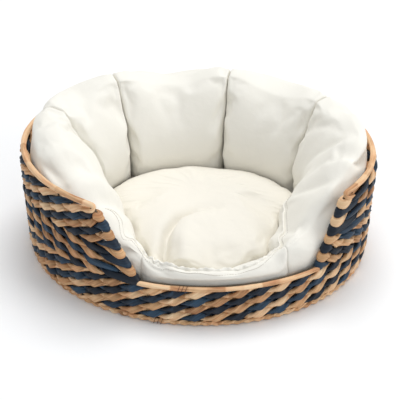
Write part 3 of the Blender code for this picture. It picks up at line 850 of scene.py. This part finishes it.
cotton = cotton_material("cotton_cover", COTTON)
fluff = cotton_material("fibre_filling", FLUFF)
CAP_RINGS = np.array((0.10, 0.45, 0.78))
shapes = {}
for chamber_number, (name, start, end) in enumerate(CHAMBERS):
    dice = np.random.default_rng(200 + chamber_number)
    dense = np.linspace(start + SEAM_GAP, end - SEAM_GAP, PLAN_POINTS)
    outer_run = length_along(bolster_plan(dense, 0.0))
    count = int(outer_run[-1] / CLOTH_STEP)
    # Rings stand closer together near the seams, where the cover is gathered.
    even = np.linspace(0.0, 1.0, count)
    bunched = even - BUNCHING * np.sin(2.0 * np.pi * even)
    turns = np.interp(bunched * outer_run[-1], outer_run, dense)[:, None]
    from_start = (bunched * outer_run[-1])[:, None]
    from_end = outer_run[-1] - from_start
    seam = np.minimum(from_start, from_end)
    rounded = 1.0 - np.clip(seam / PINCH_REACH, 0.0, 1.0)
    puff = (1.0 - rounded ** PINCH_POWER) ** (1.0 / PINCH_POWER)
    around = 2.0 * np.pi * (np.arange(SECTION_SIDES) + 0.5) / SECTION_SIDES
    across, up = squarer(np.cos(around), SECTION_POWER), squarer(np.sin(around), SECTION_POWER)
    thickness, crest, over, slant = (station(turns, column) for column in (1, 2, 3, 4))
    # 1 where the ring is low, over the front, and 0 where it stands up.
    low = smooth((LOW_CREST[0] - crest) / (LOW_CREST[0] - LOW_CREST[1]))
    pinch = PINCH_WIDE * (1.0 - (1.0 - LOW_SEAM_PINCH) * low)
    squeeze = 1.0 - pinch * (1.0 - puff)
    lean = 1.0 - slant * smooth((up - SECTION_LEAN[0]) / (SECTION_LEAN[1] - SECTION_LEAN[0]))
    inwards = thickness / 2.0 * (1.0 + across) * lean
    held = PINCH_KEPT * thickness
    inwards = held + (inwards - held) * squeeze
    middle = (crest + CUSHION_BOTTOM) / 2.0
    height = middle + (crest - CUSHION_BOTTOM) / 2.0 * up
    hung = smooth((height - OVERHANG_HEIGHT[0]) / (OVERHANG_HEIGHT[1] - OVERHANG_HEIGHT[0]))
    inwards = inwards - over * hung * (across < 0.2)
    plan = bolster_plan(np.broadcast_to(turns, inwards.shape), inwards)
    rings = np.concatenate([plan, height[..., None]], -1)
    middles = rings[[0, -1]].mean(1)[:, None, None]
    first_cap = middles[0] + (rings[0] - middles[0]) * CAP_RINGS[:, None, None]
    last_cap = middles[1] + (rings[-1] - middles[1]) * CAP_RINGS[::-1, None, None]
    closed_rings = np.concatenate([first_cap, rings, last_cap])
    cover = tube(f"bolster_{name}", closed_rings, False, np.zeros(len(closed_rings)))
    total = len(cover.data.vertices)
    body = slice(3 * SECTION_SIDES, (3 + count) * SECTION_SIDES)
    pins = list(range(4 * SECTION_SIDES)) + list(range((2 + count) * SECTION_SIDES, total))
    blow_up(cover, pins, *COVER_BLOW)
    points, normals = points_of(cover.data), normals_of(cover.data)
    girth = np.cumsum(np.linalg.norm(rings - np.roll(rings, 1, 1), axis=2), axis=1)
    girth = np.broadcast_to(girth[count // 2], rings.shape[:2])
    dent = np.zeros(rings.shape[:2])
    for away in (from_start, from_end):
        dent += folds(dice, girth, np.broadcast_to(away, dent.shape), *COVER_FOLDS)
    points[body] -= normals[body] * (dent * (1.0 - 0.85 * low)).reshape(-1, 1)
    put_points(cover.data, kept_inside(points))
    # A flush seam keeps its sharp edge; the others round over into the crease.
    edges = np.empty(len(cover.data.edges) * 2, int)
    cover.data.edges.foreach_get("vertices", edges)
    ring_of = edges.reshape(-1, 2) // SECTION_SIDES
    flush = np.zeros(len(ring_of))
    for ring_number, share in ((3, low[0, 0]), (2 + count, low[-1, 0])):
        flush[(ring_of == ring_number).all(1)] = share
    cover.data.attributes.new("crease_edge", "FLOAT", "EDGE").data.foreach_set("value", flush)
    soften(cover)
    cover.data.materials.append(cotton)
    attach(cover, "bolster")
    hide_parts(f"bolster_{name}_cover")
    placed = points_of(cover.data)[body]
    shapes[name] = (placed.reshape(rings.shape), normals[body].reshape(rings.shape), turns[:, 0])

    filling = bpy.data.objects.new(f"bolster_{name}_fibre", cover.data.copy())
    bpy.context.scene.collection.objects.link(filling)
    soften(filling)
    put_points(filling.data, points_of(cover.data) - normals_of(cover.data) * FILLING_INSET)
    filling.data.materials.clear()
    filling.data.materials.append(fluff)
    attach(filling, "bolster")
    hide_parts(f"bolster_{name}_filling")

# ---------------------------------------------------------------------------
# Gathered edge: along the low side of the ring the cover's inner panel is drawn up into a
# narrow frill over the seam, with a row of top stitching beside it.
# Angles along the edge and its height there.
RIDGE_TURNS = (234.0, 246.0, 256.0, 300.0, 312.0, 324.0, 338.0)
RIDGE_HEIGHTS = (0.141, 0.107, 0.089, 0.090, 0.091, 0.096, 0.104)
FRILL_HIGH = 0.0054
FRILL_THICK = 0.0014
FRILL_WAVE = 0.0017
FRILL_PERIOD = 0.0150
FRILL_STEP = 0.0011
FRILL_LOWEST = 0.0018
FRILL_FADE = 0.03
FRILL_LIFT = np.array((0.0, 0.0, 0.6))
FRILL_PROFILE = np.array((
    (-1.0, -0.35), (-1.0, 0.3), (-0.9, 0.8), (0.0, 1.0), (0.9, 0.8), (1.0, 0.3), (1.0, -0.35),
))
EVEN_WINDOW = 15
THREAD_COLOUR = (0.60, 0.565, 0.50, 1.0)
THREAD_SIDES = 6
STITCH_AWAY = 0.0085
STITCH_PERIOD = 0.0040
THREAD = 0.00042

grids = [shapes[name] for name in ("left_front", "front", "right_front")]
ring_turns = np.concatenate([grid[2] for grid in grids])
chosen = (ring_turns > RIDGE_TURNS[0]) & (ring_turns < RIDGE_TURNS[-1])
ring_points = np.concatenate([grid[0] for grid in grids])[chosen]
ring_normals = np.concatenate([grid[1] for grid in grids])[chosen]
ring_turns = ring_turns[chosen]


def along_ring(ring, normals, height, further):
    """Point and normal on a ring where its inner face first reaches a height, or further on."""
    quarter = slice(0, SECTION_SIDES // 4 + 1)
    reached = min(height, ring[quarter, 2].max() - 0.001)
    at = np.interp(reached, ring[quarter, 2], np.arange(SECTION_SIDES)[quarter])
    girth = length_along(ring)
    from_first = np.interp(at, np.arange(SECTION_SIDES), girth) + further
    at = np.interp(from_first, girth, np.arange(SECTION_SIDES))
    low = int(at)
    share = at - low
    point = ring[low] * (1.0 - share) + ring[low + 1] * share
    normal = normals[low] * (1.0 - share) + normals[low + 1] * share
    return np.concatenate([point, unit(normal)])


def evened(line, step):
    """Points and normals resampled at an even step, with the length along them."""
    along = length_along(line[:, :3])
    at = np.arange(0.0, along[-1], step)
    soft = np.stack([np.interp(at, along, line[:, axis]) for axis in range(6)], -1)
    window = np.hanning(EVEN_WINDOW) / np.hanning(EVEN_WINDOW).sum()
    padded = np.pad(soft, ((EVEN_WINDOW // 2, EVEN_WINDOW // 2), (0, 0)), mode="edge")
    return np.stack([np.convolve(column, window, "valid") for column in padded.T], -1), at


heights = np.interp(ring_turns, RIDGE_TURNS, RIDGE_HEIGHTS)
edge = np.array([along_ring(*each, 0.0) for each in zip(ring_points, ring_normals, heights)])
edge, run = evened(edge, FRILL_STEP)
dice = np.random.default_rng(301)
rise = unit(edge[:, 3:] + FRILL_LIFT)
flat = np.cross(unit(np.gradient(edge[:, :3], axis=0)), rise)
beat = np.cumsum(dice.uniform(0.6, 1.5, run.size)) * 2.0 * np.pi * FRILL_STEP / FRILL_PERIOD
fade = np.clip(np.minimum(run, run[-1] - run) / FRILL_FADE, 0.0, 1.0)
edge_turn = np.degrees(np.arctan2(edge[:, 1] / BOLSTER_HALF[1], edge[:, 0] / BOLSTER_HALF[0])) % 360.0
gathered = np.interp(edge_turn, [248.0, 256.0, 296.0, 306.0], [0.0, 1.0, 1.0, 0.12])
tall = np.interp(edge_turn, [246.0, 256.0, 320.0, 336.0], [0.0, 1.0, 0.9, 0.3])
high = fade * (FRILL_LOWEST + (FRILL_HIGH - FRILL_LOWEST) * tall)
high *= 0.88 + gathered * (0.20 * np.sin(beat * 0.5 + 1.0) + 0.12 * np.sin(beat * 1.7))
loose = np.clip(FRILL_PROFILE[:, 1], 0.0, 1.0) ** 1.2
aside = FRILL_PROFILE[:, 0] * FRILL_THICK + (FRILL_WAVE * fade * gathered * np.sin(beat))[:, None] * loose
upwards = FRILL_PROFILE[:, 1] * high[:, None]
frill_rings = edge[:, None, :3] + flat[:, None] * aside[..., None] + rise[:, None] * upwards[..., None]
frill = tube("bolster_frill", frill_rings, False, np.zeros(run.size))
soften(frill)
frill.data.materials.append(cotton)
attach(frill, "bolster")

thread_look = cotton_material("stitch_thread", THREAD_COLOUR)
seam_line = np.array([along_ring(*each, STITCH_AWAY) for each in zip(ring_points, ring_normals, heights)])
seam_line, run = evened(seam_line, STITCH_PERIOD / 6.0)
side = np.cross(unit(np.gradient(seam_line[:, :3], axis=0)), seam_line[:, 3:])
lift = THREAD * (0.75 * np.sin(2.0 * np.pi * run / STITCH_PERIOD))[:, None]
around = 2.0 * np.pi * np.arange(THREAD_SIDES) / THREAD_SIDES
centres = seam_line[:, :3] + seam_line[:, 3:] * lift
thread_rings = centres[:, None] + THREAD * (
    side[:, None] * np.cos(around)[:, None] + seam_line[:, None, 3:] * np.sin(around)[:, None]
)
thread = tube("bolster_top_stitch", thread_rings, False, np.zeros(run.size))
thread.data.materials.append(thread_look)
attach(thread, "bolster")

# ---------------------------------------------------------------------------
# Seat pad: a loose stuffed pillow of two cotton panels sewn round the edge, pressed into
# the ring, with a deep crease where its front left corner is folded up.
PAD_SIDES = 128
PAD_ROWS = 46
PAD_POWER = 3.4
PAD_GAP = 0.0035
PAD_MIDDLE = 0.0460
PAD_TOP = 0.0890
PAD_SPREAD = 0.0060
# The crease: plan points, the depth at each, its half width, and the fold's lobe beside it.
CREASE = np.array(((0.052, -0.047), (0.028, -0.052), (0.004, -0.062), (-0.020, -0.084), (-0.031, -0.116),
                   (-0.031, -0.150), (-0.024, -0.178), (-0.018, -0.196)))
CREASE_DEPTH = np.array((0.0, 0.0070, 0.0130, 0.0165, 0.0185, 0.0220, 0.0300, 0.0320))
CREASE_WIDE = 0.0052
LOBE_SHARE = 0.42
LOBE_REACH = 0.020
PAD_COTTON = (0.850, 0.812, 0.725, 1.0)
PAD_BLOW = (2.4, -0.05, 0.007)
PAD_FOLDS = (46, (0.0030, 0.0070), (0.012, 0.035), (0.0006, 0.0022))
PAD_FILLING = (0.945, 0.935, 0.80)
# The pad's mean reach, which turns the angle round it into a length.
PAD_ROUND = 0.15
POLE_GAP = 0.035


def near_line(plan, line):
    """Distance to a line of points, place along it in points, and which side it is on."""
    legs = np.diff(line, axis=0)
    gap = plan[:, None] - line[:-1]
    share = np.clip((gap * legs).sum(-1) / (legs ** 2).sum(-1), 0.0, 1.0)
    rest = gap - share[..., None] * legs
    distance = np.linalg.norm(rest, axis=-1)
    best = distance.argmin(1)
    rows = np.arange(len(plan))
    turned = legs[best, 0] * gap[rows, best, 1] - legs[best, 1] * gap[rows, best, 0]
    return distance[rows, best], best + share[rows, best], np.sign(turned)


around = 360.0 * np.arange(PAD_SIDES) / PAD_SIDES
outline = bolster_plan(around, station(around, 1) + PAD_GAP)
tip = np.linspace(POLE_GAP, np.pi - POLE_GAP, PAD_ROWS)[:, None]
share, level = squarer(np.sin(tip), PAD_POWER), squarer(np.cos(tip), PAD_POWER)
reach = np.where(level > 0.0, PAD_TOP - PAD_MIDDLE, PAD_MIDDLE - CUSHION_BOTTOM)
spread = 1.0 + PAD_SPREAD / np.linalg.norm(outline, axis=1) * np.clip(level, 0.0, 1.0) ** 0.5
pad_heights = np.broadcast_to((PAD_MIDDLE + reach * level)[..., None], (PAD_ROWS, PAD_SIDES, 1))
pad_rings = np.concatenate([outline * (share * spread)[..., None], pad_heights], -1)
pillow = tube("pillow", pad_rings, False, np.zeros(PAD_ROWS))
blow_up(pillow, list(range(PAD_ROWS * 2 // 3 * PAD_SIDES, PAD_ROWS * PAD_SIDES)), *PAD_BLOW)
points = points_of(pillow.data)[:PAD_ROWS * PAD_SIDES]
calm = np.repeat(smooth(share[:, 0] / 0.55), PAD_SIDES)[:, None]
points = points * calm + pad_rings.reshape(-1, 3) * (1.0 - calm)
bpy.data.objects.remove(pillow)


def refined(rings):
    """Twice the rows and sides: each new point is (9, 9, -1, -1) / 16 of its neighbours."""
    sides = np.roll(rings, -1, 1)
    mid = (9.0 * (rings + sides) - np.roll(rings, 1, 1) - np.roll(rings, -2, 1)) / 16.0
    full = np.stack([rings, mid], 2).reshape(len(rings), -1, 3)
    ends = np.pad(full, ((1, 1), (0, 0), (0, 0)), mode="edge")
    half = (9.0 * (ends[1:-2] + ends[2:-1]) - ends[:-3] - ends[3:]) / 16.0
    out = np.empty((2 * len(full) - 1, full.shape[1], 3))
    out[::2], out[1::2] = full, half
    return out


fine = refined(points.reshape(PAD_ROWS, PAD_SIDES, 3))
points = fine.reshape(-1, 3)
upper = smooth((points[:, 2] - PAD_MIDDLE) / 0.02)
distance, place, side = near_line(points[:, :2], CREASE)
depth = np.interp(place, np.arange(len(CREASE)), CREASE_DEPTH)
wide = np.where(side > 0.0, CREASE_WIDE * 0.55, CREASE_WIDE * 1.9)
points[:, 2] -= upper * depth * np.exp(-((distance / wide) ** 1.6))
lobe = np.where(side > 0.0, 1.0, 0.25) * depth * LOBE_SHARE
points[:, 2] += upper * lobe * np.exp(-(((distance - LOBE_REACH) / LOBE_REACH) ** 2))
dice = np.random.default_rng(410)
run = np.pi * np.arange(2 * PAD_SIDES) / PAD_SIDES * PAD_ROUND
from_edge = np.linalg.norm(outline, axis=1)[None] * (1.0 - share)
away = refined(np.repeat(from_edge[..., None], 3, 2))[..., 0]
creases = folds(dice, np.broadcast_to(run, away.shape), away, *PAD_FOLDS)
points[:, 2] -= upper * creases.ravel()
pad_rings = points.reshape(fine.shape)
pad_cotton = cotton_material("pad_cover", PAD_COTTON)
middle_row = PAD_ROWS - 1
core = pad_rings[::2, ::2]
inner = core.mean((0, 1)) + (core - core.mean((0, 1))) * PAD_FILLING
for name, rows, node, look in (
    ("seat_pad_top", pad_rings[:middle_row + 1], "seat_pad_top_panel", pad_cotton),
    ("seat_pad_bottom", pad_rings[middle_row:], "seat_pad_bottom_panel", pad_cotton),
    ("seat_pad_fibre", inner, "seat_pad_filling", fluff),
):
    part = tube(name, rows, False, np.zeros(len(rows)))
    if name == "seat_pad_top":
        soften(part)
    part.data.materials.append(look)
    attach(part, "seat_pad")
    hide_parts(node)
